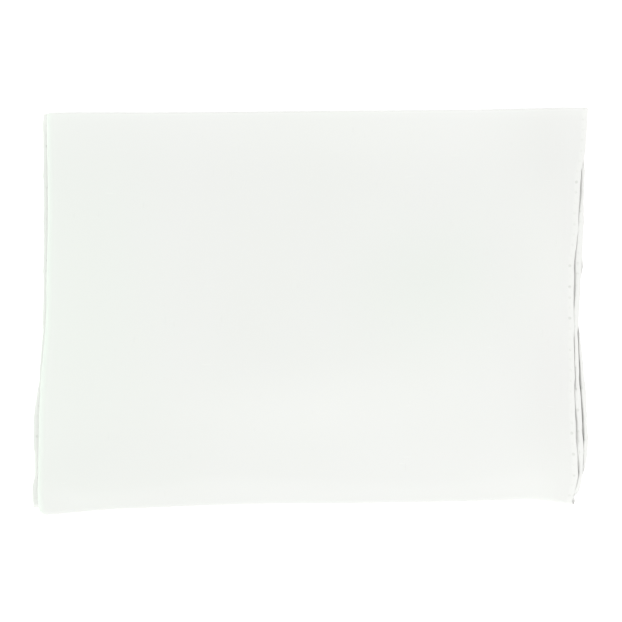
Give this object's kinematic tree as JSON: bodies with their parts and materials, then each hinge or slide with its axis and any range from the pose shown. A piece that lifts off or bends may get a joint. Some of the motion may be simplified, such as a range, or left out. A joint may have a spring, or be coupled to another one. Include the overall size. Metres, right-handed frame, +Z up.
{
  "type": "folded wild rag",
  "caption": "Plain silk square scarf with narrow hems, folded in quarters into a strip and then back and forth in thirds, lying flat.",
  "frame": {"origin": "on the surface that the folded cloth lies on, under the middle of its bounding box", "axes": "+X along the longer side towards the stack's open hems, +Y along the shorter side towards the tight fold, +Z up"},
  "size_m": [0.3238, 0.2376, 0.0164],
  "materials": {
    "silk": "plain off-white silk with a soft, low sheen"
  },
  "bodies": {
    "root": {"wild_rag": "silk"}
  },
  "joints": []
}
